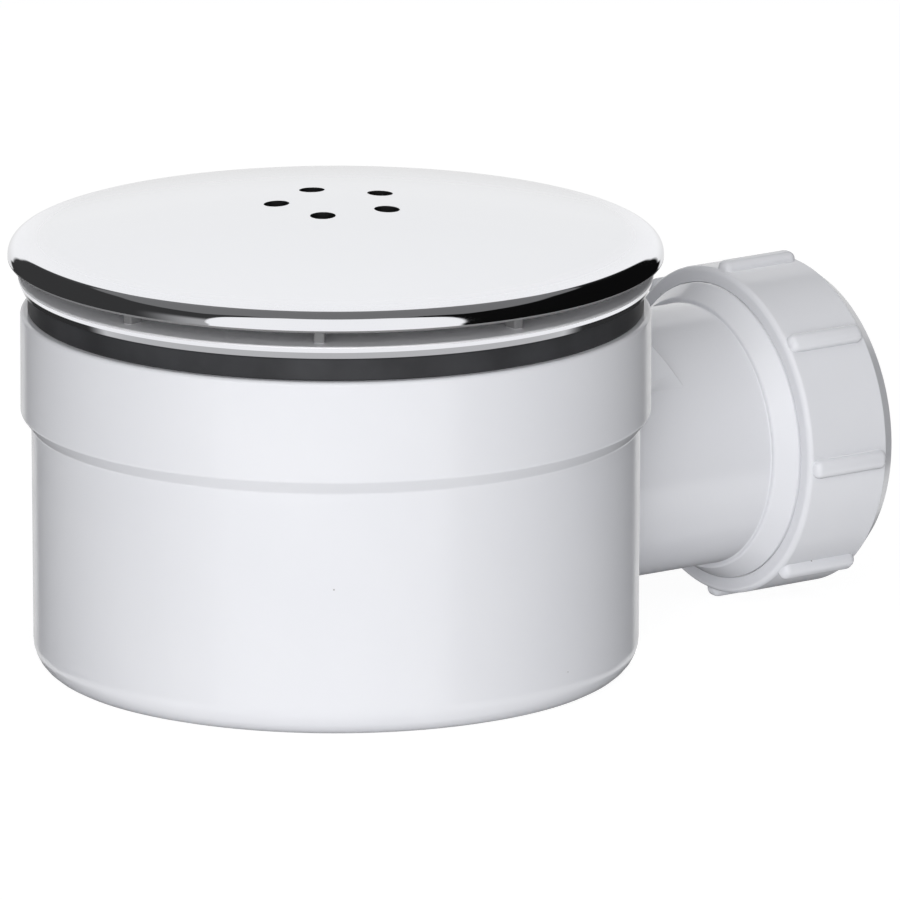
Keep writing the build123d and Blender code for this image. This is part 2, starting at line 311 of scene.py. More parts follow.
def add_node(tree, kind, output, **inputs):
    """A new node fed with named inputs, in which _ stands for a space, and one of its results."""
    node = tree.nodes.new(kind)
    for label, value in inputs.items():
        feed(value, node.inputs[label.replace("_", " ")])
    return Value(node.outputs[output])


# %% [markdown]
# ## Finishes
# Three finishes cover the trap: white moulded plastic, chrome plating and black
# rubber. Effects that several materials share are node groups. The first is the
# fine grain that a mould or a plating bath leaves, with slow clouds under it and
# level marks as if from wiping.

# %% The grain group
PER_MM = 1 / MM
GRAIN_DETAIL, CLOUD_DETAIL = 2.0, 3.0
WIPE_PER_MM, WIPE_DETAIL, WIPE_STRETCH = 0.08, 4.0, (0.5, 0.5, 2.5)


def shader_group(name, sliders, results, formula):
    """A node group: a formula of the place and of float sliders {name: value} gives its results."""
    group = bpy.data.node_groups.new(name, "ShaderNodeTree")
    for label, value in sliders.items():
        slider = group.interface.new_socket(label, in_out="INPUT", socket_type="NodeSocketFloat")
        slider.default_value = value
    for label in results:
        group.interface.new_socket(label, in_out="OUTPUT", socket_type="NodeSocketFloat")
    given, end = group.nodes.new("NodeGroupInput"), group.nodes.new("NodeGroupOutput")
    place = add_node(group, "ShaderNodeTexCoord", "Object")
    values = formula(place, *[Value(given.outputs[label]) for label in sliders])
    for label, value in zip(results, values):
        feed(value, end.inputs[label])
    print("group", name, "gives", ", ".join(results))
    return group


def noise(place, scale, detail):
    """A noise of so many cells per metre."""
    return add_node(place.tree, "ShaderNodeTexNoise", "Fac", Vector=place, Scale=scale, Detail=detail)


def grain_formula(place, grain_per_mm, cloud_per_mm):
    """Fine grain, slow clouds and level wiping marks."""
    stretched = add_node(place.tree, "ShaderNodeMapping", "Vector", Vector=place, Scale=WIPE_STRETCH)
    return (
        noise(place, grain_per_mm * PER_MM, GRAIN_DETAIL),
        noise(place, cloud_per_mm * PER_MM, CLOUD_DETAIL),
        noise(stretched, WIPE_PER_MM * PER_MM, WIPE_DETAIL),
    )


grain = shader_group(
    "moulded_grain",
    {"Grain per mm": 2.0, "Cloud per mm": 0.03},
    ("Height", "Cloud", "Wiped"),
    grain_formula,
)

# %% [markdown]
# ## Specks
# White granulate carries a few burnt grains. A Voronoi texture gives every cell one
# centre. Only the few cells with a low random value, and only the spot close to
# their centre, turn dark.

# %% The speck group
def speck_formula(place, cells_per_mm, size_mm, share):
    """1 on the specks and 0 beside them."""
    tint = add_node(place.tree, "ShaderNodeTexVoronoi", "Color", Vector=place, Scale=cells_per_mm * PER_MM)
    red = add_node(place.tree, "ShaderNodeSeparateColor", "Red", Color=tint)
    distance = Value(tint.node.outputs["Distance"])
    return ((red < share) * (distance < size_mm * cells_per_mm),)


specks = shader_group(
    "burnt_specks",
    {"Cells per mm": 0.16, "Size mm": 0.22, "Share": 0.14},
    ("Mask",),
    speck_formula,
)

# %% [markdown]
# ## A skin for every material
# All the materials take their colour, gloss and relief from the grain group in the
# same way, so one helper starts them. Two tones drift into each other with the
# clouds, the gloss follows the wiping marks, and the grain is a faint bump.

# %% A helper that starts a material
NOISE_LOW, NOISE_HIGH = 0.3, 0.7


def effect(tree, group, **sliders):
    """Places a node group in a tree with its own slider values: its results by name."""
    node = tree.nodes.new("ShaderNodeGroup")
    node.node_tree = group
    for label, value in sliders.items():
        feed(value, node.inputs[label.replace("_", " ")])
    return {socket.name: Value(socket) for socket in node.outputs}


def remap(value, low, high):
    """Spreads the middle of a noise value over a range."""
    limits = {"From_Min": NOISE_LOW, "From_Max": NOISE_HIGH, "To_Min": low, "To_Max": high}
    return add_node(value.tree, "ShaderNodeMapRange", "Result", Value=value, **limits)


def blend(share, first, second):
    """A colour between two others."""
    node = share.tree.nodes.new("ShaderNodeMix")
    node.data_type = "RGBA"
    feed(share, node.inputs["Factor"])
    for label, colour in (("A", first), ("B", second)):
        feed(colour if isinstance(colour, Value) else (*colour, 1), node.inputs[label])
    return Value(node.outputs["Result"])


def skinned(name, tones, gloss, relief, **sliders):
    """A material with its shader, colour and roughness. The relief is a strength and a depth in mm."""
    material = bpy.data.materials.new(name)
    material.use_nodes = True
    tree = material.node_tree
    shader = tree.nodes["Principled BSDF"]
    skin = effect(tree, grain, **sliders)
    colour = blend(remap(skin["Cloud"], 0, 1), *tones)
    roughness = remap(skin["Wiped"], *gloss)
    bump = {"Strength": relief[0], "Distance": relief[1] * MM, "Height": skin["Height"]}
    feed(colour, shader.inputs["Base Color"])
    feed(roughness, shader.inputs["Roughness"])
    feed(add_node(tree, "ShaderNodeBump", "Normal", **bump), shader.inputs["Normal"])
    print("material", name, "with roughness", gloss)
    return material, shader, colour, roughness


# %% [markdown]
# ## White plastic
# The pot and the nut are moulded in white plastic with a faint cool tone. It has
# a soft gloss: broad highlights, no mirror. The colour drifts a little over the
# wall, and the specks are set into it. The lift-out insert is a similar plastic
# from a duller mould.

# %% Make the plastics
BODY_TONES = (0.80, 0.805, 0.835), (0.77, 0.777, 0.812)
INSERT_TONES = (0.72, 0.73, 0.76), (0.68, 0.69, 0.725)
SPECK_GREY = (0.30, 0.29, 0.28)
BODY_GLOSS, INSERT_GLOSS = (0.15, 0.21), (0.42, 0.52)
BODY_RELIEF, INSERT_RELIEF = (0.25, 0.006), (0.25, 0.02)
PLASTIC_IOR = 1.5


def plastic(name, tones, gloss, relief):
    """White moulded plastic with specks."""
    sliders = {"Grain_per_mm": 3.0, "Cloud_per_mm": 0.025}
    material, shader, colour, _ = skinned(name, tones, gloss, relief, **sliders)
    dots = effect(colour.tree, specks)["Mask"]
    feed(blend(dots, colour, SPECK_GREY), shader.inputs["Base Color"])
    feed(PLASTIC_IOR, shader.inputs["IOR"])
    return material


body_plastic = plastic("white_plastic", BODY_TONES, BODY_GLOSS, BODY_RELIEF)
insert_plastic = plastic("insert_plastic", INSERT_TONES, INSERT_GLOSS, INSERT_RELIEF)

# %% [markdown]
# ## Chrome
# Bright chrome on a plastic core has almost no colour of its own and shows the
# room instead. Two things keep it from looking like a perfect mirror: a slight
# waviness of the plating, and a film of wiping that changes its roughness a little.
# Where the plating is dull, and where the cap has painted shade, depends on the piece, so each one brings a
# formula for it.

# %% A helper that plates a piece
CHROME_TONES = (0.845, 0.85, 0.88), (0.82, 0.826, 0.86)
CHROME_GLOSS, CHROME_RELIEF = (0.035, 0.06), (0.05, 0.02)


def parts(vector):
    """The X, Y and Z of a vector."""
    node = vector.tree.nodes.new("ShaderNodeSeparateXYZ")
    feed(vector, node.inputs[0])
    return [Value(socket) for socket in node.outputs]


def plated(name, finish_and_shade):
    """Chrome, with a formula of its colour and of how far a face looks up, which dulls it in places and on
    the cap paints shade.
    """
    sliders = {"Grain_per_mm": 0.12, "Cloud_per_mm": 0.02}
    material, shader, colour, roughness = skinned(name, CHROME_TONES, CHROME_GLOSS, CHROME_RELIEF, **sliders)
    facing = parts(add_node(colour.tree, "ShaderNodeNewGeometry", "True Normal"))[2]
    tone, metal, dullness = finish_and_shade(colour, facing)
    feed(tone, shader.inputs["Base Color"])
    feed(metal, shader.inputs["Metallic"])
    feed(most(roughness, dullness), shader.inputs["Roughness"])
    return material


# %% [markdown]
# ## The inside of the cap, with painted shade
# The cap's material finds its inner faces by two tests: they lie within the rim,
# and they do not face upwards. There the mirror gives way to dull grey: light on
# the faces that look down, and painted shade on the legs and the other upright
# faces, which turn dark grey and almost black inside the small holes. The lip of
# the rim is dull dark grey as well, a painted stand-in for its mirrored line. The
# crown has a slight haze over the mirror, which keeps it grey instead of black
# where the room is dark, and only its edge is a clear mirror.

# %% Make the chrome of the cap
BARE_WITHIN, BARE_UPWARD, BARE_ROUGHNESS = 55.45, 0.5, 0.5
BARE_GREY, LEG_SHADE_GREY, LEG_DOWNWARD = (0.75, 0.75, 0.76), (0.25, 0.25, 0.255), -0.5
HOLE_SHADE_BLACK, HOLES_WITHIN = (0.006, 0.006, 0.0065), 25.0
LIP_REFLECTION_GREY, LIP_TOP = (0.2, 0.2, 0.205), 74.25
CROWN_EDGE, CROWN_FADE, CROWN_HAZE, CROWN_TONE = 56.0, 5.0, 0.5, (0.955, 0.962, 0.99)


def cap_finish_and_shade(colour, facing):
    """Dull grey on the inner faces, with painted shade on the upright ones and in the holes, a painted
    stand-in for the lip's reflection, and a haze on its crown.
    """
    x, y, height = parts(add_node(colour.tree, "ShaderNodeTexCoord", "Object"))
    radius = math_node("SQRT", x * x + y * y)
    within = radius < BARE_WITHIN * MM
    on_lip = (height < LIP_TOP * MM) * (1 - within)
    dull_and_shaded = most(within * (facing < BARE_UPWARD), on_lip)
    upright = facing > LEG_DOWNWARD
    # painted shade: upright faces under the rim turn dark grey, and near the middle, inside the holes, almost
    # black
    grey = blend(upright, BARE_GREY, LEG_SHADE_GREY)
    grey = blend(upright * (radius < HOLES_WITHIN * MM), grey, HOLE_SHADE_BLACK)
    # painted reflection: the lip gets a fixed dull dark grey in place of the line its rounding would mirror
    grey = blend(on_lip, grey, LIP_REFLECTION_GREY)
    inwards = most((CROWN_EDGE * MM - radius) / (CROWN_FADE * MM), 0)
    crown = math_node("MINIMUM", inwards, 1)
    # the tone carries this painted shade and the lip's painted reflection
    tone = blend(dull_and_shaded, blend(crown, colour, CROWN_TONE), grey)
    mirror = (1 - crown * CROWN_HAZE) * (1 - dull_and_shaded)
    return tone, mirror, dull_and_shaded * BARE_ROUGHNESS


cap_chrome = plated("cap_chrome", cap_finish_and_shade)

# %% [markdown]
# ## The seat of the flange
# The cap hides the upper face of the flange. It is dull, so that only the lip and
# the bevel under it shine.

# %% Make the chrome of the flange
SEAT_UPWARD, SEAT_METAL, SEAT_ROUGHNESS, SEAT_TONE = -0.12, 0.25, 0.45, (0.92, 0.92, 0.94)


def flange_dulling(colour, facing):
    """Dull plating on the faces of the flange that look up or level."""
    seat = facing > SEAT_UPWARD
    return blend(seat, colour, SEAT_TONE), 1 - seat * (1 - SEAT_METAL), seat * SEAT_ROUGHNESS


flange_chrome = plated("flange_chrome", flange_dulling)

# %% [markdown]
# ## Rubber
# The gasket and the seals are black rubber with a dull, slightly grainy skin. A
# little pale bloom lies on it in clouds, as on any rubber that has been stored.

# %% Make the rubber
RUBBER_TONES = (0.017, 0.0175, 0.02), (0.034, 0.035, 0.039)
RUBBER_GLOSS, RUBBER_RELIEF = (0.45, 0.6), (0.4, 0.03)
rubber_sliders = {"Grain_per_mm": 4.0, "Cloud_per_mm": 0.09}
rubber = skinned("rubber", RUBBER_TONES, RUBBER_GLOSS, RUBBER_RELIEF, **rubber_sliders)[0]

# %% [markdown]
# ## Handing over a piece
# Every fine piece stands for one solid of the frame. It takes the place of that
# solid, rides on the same body and takes its finish.

# %% A helper that hands a piece to the frame
def mounted(piece, node, body, material):
    """Lets a piece stand for a CAD node, ride on its body and take its finish."""
    piece.data.materials.clear()
    piece.data.materials.append(material)
    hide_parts(node)
    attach(piece, body)
    print(piece.name, "stands for", node, "with", len(piece.data.polygons), "faces")


# %% [markdown]
# ## Copies in a ring
# Lugs, legs, holes and slots all repeat about an axis. One Geometry Nodes tree
# serves them all: it turns copies of a small object about the axis, makes them
# real, and joins them to the piece or cuts them out of it with a Mesh Boolean. The
# thread further on has a tree too, so helpers start, end and run one.

# %% Start, end and run a Geometry Nodes tree
def start_tree(name, **inputs):
    """A Geometry Nodes tree with named inputs of some kinds, and those inputs as Values."""
    tree = bpy.data.node_groups.new(name, "GeometryNodeTree")
    for label, kind in inputs.items():
        tree.interface.new_socket(label, in_out="INPUT", socket_type="NodeSocket" + kind)
    tree.interface.new_socket("Geometry", in_out="OUTPUT", socket_type="NodeSocketGeometry")
    given = tree.nodes.new("NodeGroupInput")
    return tree, {label: Value(given.outputs[label]) for label in inputs}


def end_tree(geometry, material):
    """Gives the geometry its material and hands it to the output of its tree."""
    tree = geometry.tree
    paint = {"Geometry": geometry, "Material": material}
    painted = add_node(tree, "GeometryNodeSetMaterial", "Geometry", **paint)
    feed(painted, tree.nodes.new("NodeGroupOutput").inputs["Geometry"])


def run_tree(piece, tree, **values):
    """Runs a Geometry Nodes tree on an object and keeps the mesh that it makes."""
    modifier = piece.modifiers.new(tree.name, "NODES")
    modifier.node_group = tree
    for socket in tree.interface.items_tree:
        if socket.in_out == "INPUT" and socket.name in values:
            modifier[socket.identifier] = values[socket.name]
    settled(piece)


# %% Build the ring tree
RING_INPUTS = {
    "Geometry": "Geometry",
    "Copy": "Object",
    "Count": "Int",
    "Centre": "Vector",
    "Axis": "Vector",
    "Start": "Float",
    "Material": "Material",
}


def ring_tree(operation):
    """A Geometry Nodes tree that adds (UNION) or cuts (DIFFERENCE) a ring of copies."""
    tree, given = start_tree("ring_" + operation.lower(), **RING_INPUTS)
    points = add_node(tree, "GeometryNodePoints", "Points", Count=given["Count"], Position=given["Centre"])
    copy = add_node(tree, "GeometryNodeObjectInfo", "Geometry", Object=given["Copy"])
    index = add_node(tree, "GeometryNodeInputIndex", "Index")
    turn = tree.nodes.new("ShaderNodeVectorMath")
    turn.operation = "SCALE"
    feed(given["Axis"], turn.inputs[0])
    feed(index * (2 * math.pi / given["Count"]) + given["Start"], turn.inputs["Scale"])
    spread = {"Points": points, "Instance": copy, "Rotation": Value(turn.outputs[0])}
    ring = add_node(tree, "GeometryNodeInstanceOnPoints", "Instances", **spread)
    real = add_node(tree, "GeometryNodeRealizeInstances", "Geometry", Geometry=ring)
    join = tree.nodes.new("GeometryNodeMeshBoolean")
    join.operation = operation
    join.solver = "EXACT"
    feed(given["Geometry"], join.inputs["Mesh 1" if operation == "DIFFERENCE" else "Mesh 2"])
    feed(real, join.inputs["Mesh 2"])
    end_tree(Value(join.outputs["Mesh"]), given["Material"])
    return tree


RINGS = {operation: ring_tree(operation) for operation in ("UNION", "DIFFERENCE")}


def with_ring(piece, operation, copy, count, place, start_degrees, material):
    """Adds or cuts a ring of copies, whose mesh is measured from the axis, and removes the copy."""
    run_tree(
        piece,
        RINGS[operation],
        Copy=copy,
        Count=count,
        Centre=place.translation,
        Axis=place.to_3x3() @ Vector((0, 0, 1)),
        Start=math.radians(start_degrees),
        Material=material,
    )
    bpy.data.objects.remove(copy)
    print(piece.name, operation.lower(), count, "copies:", len(piece.data.polygons), "faces")


# %% [markdown]
# ## Small bars and plates
# A lug, a leg or a gusset is a bar with softened edges. It is drawn as a flat
# outline, pushed out to its thickness and bevelled along all its edges.

# %% A bar from an outline, with bevelled edges
BEVEL_STEPS, BEVEL_PROFILE = 5, 0.5


def bar(name, outline, thickness, edge_round, place):
    """A plate of a thickness about its middle, from an outline in mm, laid in a place."""
    work = bmesh.new()
    rim = [work.verts.new((x * MM, y * MM, -thickness / 2 * MM)) for x, y in outline]
    face = work.faces.new(rim)
    pushed = bmesh.ops.extrude_face_region(work, geom=[face])["geom"]
    bmesh.ops.translate(
        work,
        verts=[item for item in pushed if isinstance(item, bmesh.types.BMVert)],
        vec=(0, 0, thickness * MM),
    )
    bmesh.ops.bevel(
        work,
        geom=work.edges[:],
        offset=edge_round * MM,
        segments=BEVEL_STEPS,
        profile=BEVEL_PROFILE,
        affect="EDGES",
        clamp_overlap=True,
    )
    bmesh.ops.transform(work, matrix=place, verts=work.verts)
    bmesh.ops.recalc_face_normals(work, faces=work.faces)
    mesh = bpy.data.meshes.new(name)
    work.to_mesh(mesh)
    work.free()
    return add_object(name, mesh)


# %% [markdown]
# ## The trap body
# The body is one moulding: a round pot with a wider band, the outlet tube with
# its shoulder and spigot, and two gussets that brace the tube. Solid shapes are
# joined first, then the two hollows are cut out of them, in the order in which a
# mould and its cores would form them.

# %% Outlines of the body
BASE_RADIUS, BASE_ROUND, WALL_TOP_RADIUS = 53.15, 5.8, 53.4
STEP_HEIGHT, STEP_TOP, STEP_ROUND, RIM_ROUND = 44.2, 46.6, 0.8, 0.7
MOUTH_RADIUS, CAVITY_RADIUS, CAVITY_ROUND = 52.6, 50.65, 3.3
WELD_LEDGE, FLOOR = 58.5, 2.6
CUP_RING_IN, CUP_RING_OUT, CUP_RING_TOP = 38.0, 39.6, 5.6

pot_outline = rounded(
    (0, 0, 0),
    (BASE_RADIUS, 0, BASE_ROUND),
    (WALL_TOP_RADIUS, STEP_HEIGHT, STEP_ROUND),
    (BAND_RADIUS, STEP_TOP, STEP_ROUND),
    (BAND_RADIUS, RIM_HEIGHT, RIM_ROUND),
    (0, RIM_HEIGHT, 0),
)
CORE_OVERRUN = 1.0
core_outline = rounded(
    (0, FLOOR, 0),
    (CUP_RING_IN, FLOOR, 0.4),
    (CUP_RING_IN, CUP_RING_TOP, 0.5),
    (CUP_RING_OUT, CUP_RING_TOP, 0.5),
    (CUP_RING_OUT, FLOOR, 0.4),
    (CAVITY_RADIUS, FLOOR, CAVITY_ROUND),
    (CAVITY_RADIUS, WELD_LEDGE, 0.2),
    (MOUTH_RADIUS, WELD_LEDGE, 0.2),
    (MOUTH_RADIUS, RIM_HEIGHT + CORE_OVERRUN, LEAST_ROUND),
    (0, RIM_HEIGHT + CORE_OVERRUN, 0),
)
print("pot outline", len(pot_outline), "points, core outline", len(core_outline))

# %% Outlines of the tube, spigot and bore
TUBE_RADIUS, TUBE_INNER_END = 23.25, 40.0
SHOULDER_START, SHOULDER_RADIUS = 77.5, 24.1
THREAD_START, THREAD_LAND_END = 81.2, 82.0
THREAD_CREST, THREAD_ROOT = 26.35, 24.8
BORE_RADIUS, SOCKET_RADIUS, SOCKET_STOP = 20.4, 21.75, 61.0
SEAT_START, SEAT_RADIUS = 87.8, 23.25
SEAT_OVERRUN = 1.0
seat_slope = (SEAT_RADIUS - SOCKET_RADIUS) / (SPIGOT_END - SEAT_START)

tube_outline = rounded(
    (0, TUBE_INNER_END, 0),
    (TUBE_RADIUS, TUBE_INNER_END, LEAST_ROUND),
    (TUBE_RADIUS, SHOULDER_START, 0.25),
    (SHOULDER_RADIUS, SHOULDER_START, 0.6),
    (THREAD_CREST, THREAD_START, 0.3),
    (THREAD_CREST, THREAD_LAND_END, 0.25),
    (THREAD_ROOT, THREAD_LAND_END, 0.25),
    (THREAD_ROOT, SPIGOT_END, 0.4),
    (0, SPIGOT_END, 0),
)
bore_outline = rounded(
    (0, TUBE_INNER_END - CORE_OVERRUN, 0),
    (BORE_RADIUS, TUBE_INNER_END - CORE_OVERRUN, LEAST_ROUND),
    (BORE_RADIUS, SOCKET_STOP, 0.3),
    (SOCKET_RADIUS, SOCKET_STOP, 0.3),
    (SOCKET_RADIUS, SEAT_START, 0.3),
    (SEAT_RADIUS + SEAT_OVERRUN * seat_slope, SPIGOT_END + SEAT_OVERRUN, LEAST_ROUND),
    (0, SPIGOT_END + SEAT_OVERRUN, 0),
)
print("tube outline", len(tube_outline), "points, bore outline", len(bore_outline))

# %% [markdown]
# ## Gussets
# Two upright plates brace the tube against the pot. Their slope is slightly
# convex, so a few points of the outline follow a sine.

# %% Outline of the gussets
GUSSET_SPREAD, GUSSET_THICKNESS, GUSSET_ROUND = 17.4, 2.0, 0.3
GUSSET_DROP, GUSSET_REACH, GUSSET_SUNK = 8.0, 9.6, 2.5
GUSSET_SWELL, GUSSET_STEPS = 0.3, 8
gusset_root = math.sqrt(BAND_RADIUS**2 - GUSSET_SPREAD**2)
gusset_face = GUSSET_SPREAD + GUSSET_THICKNESS / 2
gusset_foot = OUTLET_HEIGHT + math.sqrt(TUBE_RADIUS**2 - gusset_face**2)
slope_low = Vector((gusset_root + GUSSET_REACH, gusset_foot))
slope_high = Vector((gusset_root, RIM_HEIGHT - GUSSET_DROP))
slope_out = Vector((slope_high.y - slope_low.y, slope_low.x - slope_high.x)).normalized()
gusset_outline = [
    (gusset_root - GUSSET_SUNK, slope_high.y),
    (gusset_root - GUSSET_SUNK, OUTLET_HEIGHT),
    (slope_low.x, OUTLET_HEIGHT),
]
for step in range(GUSSET_STEPS + 1):
    share = step / GUSSET_STEPS
    swell = GUSSET_SWELL * math.sin(math.pi * share)
    gusset_outline.append(tuple(slope_low.lerp(slope_high, share) + slope_out * swell))
print("gusset slope from", [round(v, 1) for v in slope_low], "to", [round(v, 1) for v in slope_high])


# %% Join and cut the body
def boolean(piece, other, operation):
    """Joins or cuts one closed object with another, which is then removed."""
    modifier = piece.modifiers.new(operation, "BOOLEAN")
    modifier.operation = operation
    modifier.solver = "EXACT"
    modifier.object = other
    settled(piece)
    bpy.data.objects.remove(other)


def inside_out(outline):
    """The outline of a core as the wall that it leaves."""
    return [(point, -direction) for point, direction in outline]


body = turned("trap_body_shell", pot_outline)
boolean(body, turned("tube", tube_outline, OUTLET, FINE_SEGMENTS), "UNION")
for side in (-1, 1):
    upright = Matrix.Translation((0, side * GUSSET_SPREAD * MM, 0)) @ Matrix.Rotation(math.pi / 2, 4, "X")
    boolean(body, bar("gusset", gusset_outline, GUSSET_THICKNESS, GUSSET_ROUND, upright), "UNION")
boolean(body, turned("core", core_outline), "DIFFERENCE")
boolean(body, turned("bore", bore_outline, OUTLET, FINE_SEGMENTS), "DIFFERENCE")
renew_directions(body, [
    (pot_outline, WASTE),
    (tube_outline, OUTLET),
    (inside_out(core_outline), WASTE),
    (inside_out(bore_outline), OUTLET),
])
mounted(body, "trap_body", "trap", body_plastic)

# %% [markdown]
# ## Collar, gasket and flange
# The collar is welded into the mouth of the pot. The rubber gasket lies on the
# rim, and the chrome flange screws down on it, so the tray is clamped between
# them. The lip of the flange has a thin upright edge and a bevel under it, which
# show as a bright line and a grey band below the cap.

# %% Turn the collar
COLLAR_BORE, COLLAR_SKIRT_RADIUS, COLLAR_EDGE = 43.3, 45.9, 52.55
COLLAR_LAND_IN, COLLAR_PLATE_LOW, COLLAR_SKIRT_LOW = 49.95, 61.5, 54.5
collar = turned("collar", rounded(
    (COLLAR_BORE, COLLAR_SKIRT_LOW, 0.3),
    (COLLAR_SKIRT_RADIUS, COLLAR_SKIRT_LOW, 0.3),
    (COLLAR_SKIRT_RADIUS, COLLAR_PLATE_LOW, 0.5),
    (COLLAR_LAND_IN, COLLAR_PLATE_LOW, 0.5),
    (COLLAR_LAND_IN, WELD_LEDGE, 0.3),
    (COLLAR_EDGE, WELD_LEDGE, 0.2),
    (COLLAR_EDGE, RIM_HEIGHT, 0.2),
    (COLLAR_BORE, RIM_HEIGHT, 0.3),
))
mounted(collar, "threaded_collar", "trap", body_plastic)

# %% Turn the gasket
GASKET_BORE, GASKET_RADIUS, GASKET_TOP = 45.0, 54.0, 68.65
gasket = turned("gasket_ring", rounded(
    (GASKET_BORE, RIM_HEIGHT, 0.2),
    (GASKET_RADIUS, RIM_HEIGHT, 0.35),
    (GASKET_RADIUS, GASKET_TOP, 0.5),
    (GASKET_BORE, GASKET_TOP, 0.2),
))
mounted(gasket, "tray_gasket", "trap", rubber)

# %% Turn the flange
BARREL_RADIUS, BARREL_BORE, BARREL_LOW = 43.0, 40.4, 56.0
LEDGE_RADIUS, LEDGE_HEIGHT = 38.6, 58.5
FLANGE_RADIUS, FLANGE_TOP, FLANGE_EDGE_LOW, FLANGE_SEAT = 55.75, 71.0, 69.9, 54.9
FLANGE_DRAFT, BARREL_ROUND = 0.28, 1.6
flange_outline = rounded(
    (LEDGE_RADIUS, BARREL_LOW, 0.3),
    (BARREL_RADIUS, BARREL_LOW, 0.3),
    (BARREL_RADIUS, GASKET_TOP, 0.3),
    (FLANGE_SEAT, GASKET_TOP, 0.2),
    (FLANGE_RADIUS - FLANGE_DRAFT, FLANGE_EDGE_LOW, 0.3),
    (FLANGE_RADIUS, FLANGE_TOP, 0.3),
    (BARREL_BORE, FLANGE_TOP, BARREL_ROUND),
    (BARREL_BORE, LEDGE_HEIGHT, 0.3),
    (LEDGE_RADIUS, LEDGE_HEIGHT, 0.3),
)
flange = turned("chrome_flange", flange_outline, segments=FINE_SEGMENTS)
mounted(flange, "flange", "trap", flange_chrome)

# %% [markdown]
# ## The domed cap
# The cap is a shallow dome with a rolled edge. Its arc is far too flat for a
# corner round, so the dome and its inside are sampled as true circles, and the
# edge round is set tangent to the outer one.

# %% Outline of the cap
DOME_RADIUS, CAP_WALL, CAP_BOTTOM = 234.0, 2.0, 73.8
CAP_EDGE_ROUND, CAP_LIP_ROUND = 2.8, 0.4
DOME_STEPS = 24
dome_centre = CAP_TOP - DOME_RADIUS


def dome(radius_to, drop):
    """Outline of the dome from its middle out to a radius, lowered by a drop."""
    points = []
    for step in range(DOME_STEPS + 1):
        across = radius_to * step / DOME_STEPS
        rise = math.sqrt(DOME_RADIUS**2 - across**2)
        points.append((Vector((across, dome_centre + rise - drop)), Vector((across, rise)).normalized()))
    return points


edge_centre = Vector((CAP_RADIUS - CAP_EDGE_ROUND, 0))
edge_centre.y = dome_centre + math.sqrt((DOME_RADIUS - CAP_EDGE_ROUND) ** 2 - edge_centre.x**2)
edge_start = (edge_centre - Vector((0, dome_centre))).normalized() * CAP_EDGE_ROUND
edge = arc(edge_centre, Vector((CAP_EDGE_ROUND, 0)), edge_start)
inner_radius = CAP_RADIUS - CAP_WALL
under_dome = inside_out(dome(inner_radius, CAP_WALL))
lip = rounded(
    (inner_radius, CAP_BOTTOM, CAP_LIP_ROUND),
    (CAP_RADIUS, CAP_BOTTOM, CAP_LIP_ROUND),
    (CAP_RADIUS, edge_centre.y, LEAST_ROUND),
    (inner_radius, edge_centre.y, LEAST_ROUND),
)[:2 * (ARC_STEPS + 1)]
over_dome = dome((edge_centre + edge_start).x, 0)[::-1]
cap_outline = under_dome + lip + edge + over_dome[1:]
print("cap outline", len(cap_outline), "points; edge round starts at", round(over_dome[0][0].x, 2), "mm")

# %% [markdown]
# ## Holes, legs and pin
# The holes let water in through the crown. The legs stand on the flange and keep the
# gap below the rim open, and the pin centres the cap in the hub of the strainer.

# %% Holes, legs and pin of the cap
HOLE_RADIUS, HOLE_CIRCLE, HOLE_COUNT, HOLE_TURN = 2.25, 10.4, 5, 6.6
LEG_COUNT, LEG_TURN, LEG_CIRCLE = 9, 31.9, 51.65
LEG_DEPTH, LEG_WIDTH, LEG_ROUND = 3.0, 1.9, 0.35
PIN_RADIUS, PIN_LOW = 3.5, 64.5
HOLE_SEGMENTS, PIN_SEGMENTS = 48, 64
SUNK = 1.0

cap = turned("domed_cap", cap_outline, segments=FINE_SEGMENTS)
hole_outline = rounded(
    (0, CAP_BOTTOM, 0),
    (HOLE_RADIUS, CAP_BOTTOM, LEAST_ROUND),
    (HOLE_RADIUS, CAP_TOP + SUNK, LEAST_ROUND),
    (0, CAP_TOP + SUNK, 0),
)
hole = turned("hole", hole_outline, Matrix.Translation((HOLE_CIRCLE * MM, 0, 0)), HOLE_SEGMENTS)
with_ring(cap, "DIFFERENCE", hole, HOLE_COUNT, WASTE, HOLE_TURN, cap_chrome)

leg_top = dome_centre + math.sqrt(DOME_RADIUS**2 - LEG_CIRCLE**2) - CAP_WALL + SUNK
leg_outline = (
    (LEG_CIRCLE - LEG_DEPTH / 2, FLANGE_TOP),
    (LEG_CIRCLE + LEG_DEPTH / 2, FLANGE_TOP),
    (LEG_CIRCLE + LEG_DEPTH / 2, leg_top),
    (LEG_CIRCLE - LEG_DEPTH / 2, leg_top),
)
leg = bar("leg", leg_outline, LEG_WIDTH, LEG_ROUND, Matrix.Rotation(math.pi / 2, 4, "X"))
with_ring(cap, "UNION", leg, LEG_COUNT, WASTE, LEG_TURN, cap_chrome)

pin_outline = rounded(
    (0, PIN_LOW, 0),
    (PIN_RADIUS, PIN_LOW, 0.6),
    (PIN_RADIUS, CAP_TOP - CAP_WALL + SUNK, LEAST_ROUND),
    (0, CAP_TOP - CAP_WALL + SUNK, 0),
)
boolean(cap, turned("pin", pin_outline, segments=PIN_SEGMENTS), "UNION")
renew_directions(cap, [(cap_outline, WASTE), (pin_outline, WASTE)])
mounted(cap, "dome_cap", "trap", cap_chrome)

# %% [markdown]
# ## The insert
# Under the cap lie the pieces that hold the water: a strainer, a dip tube sealed
# by an O-ring, and a cup whose rim is the weir. They are seen only through the
# outlet or with the cap off, but they are turned with the same care.

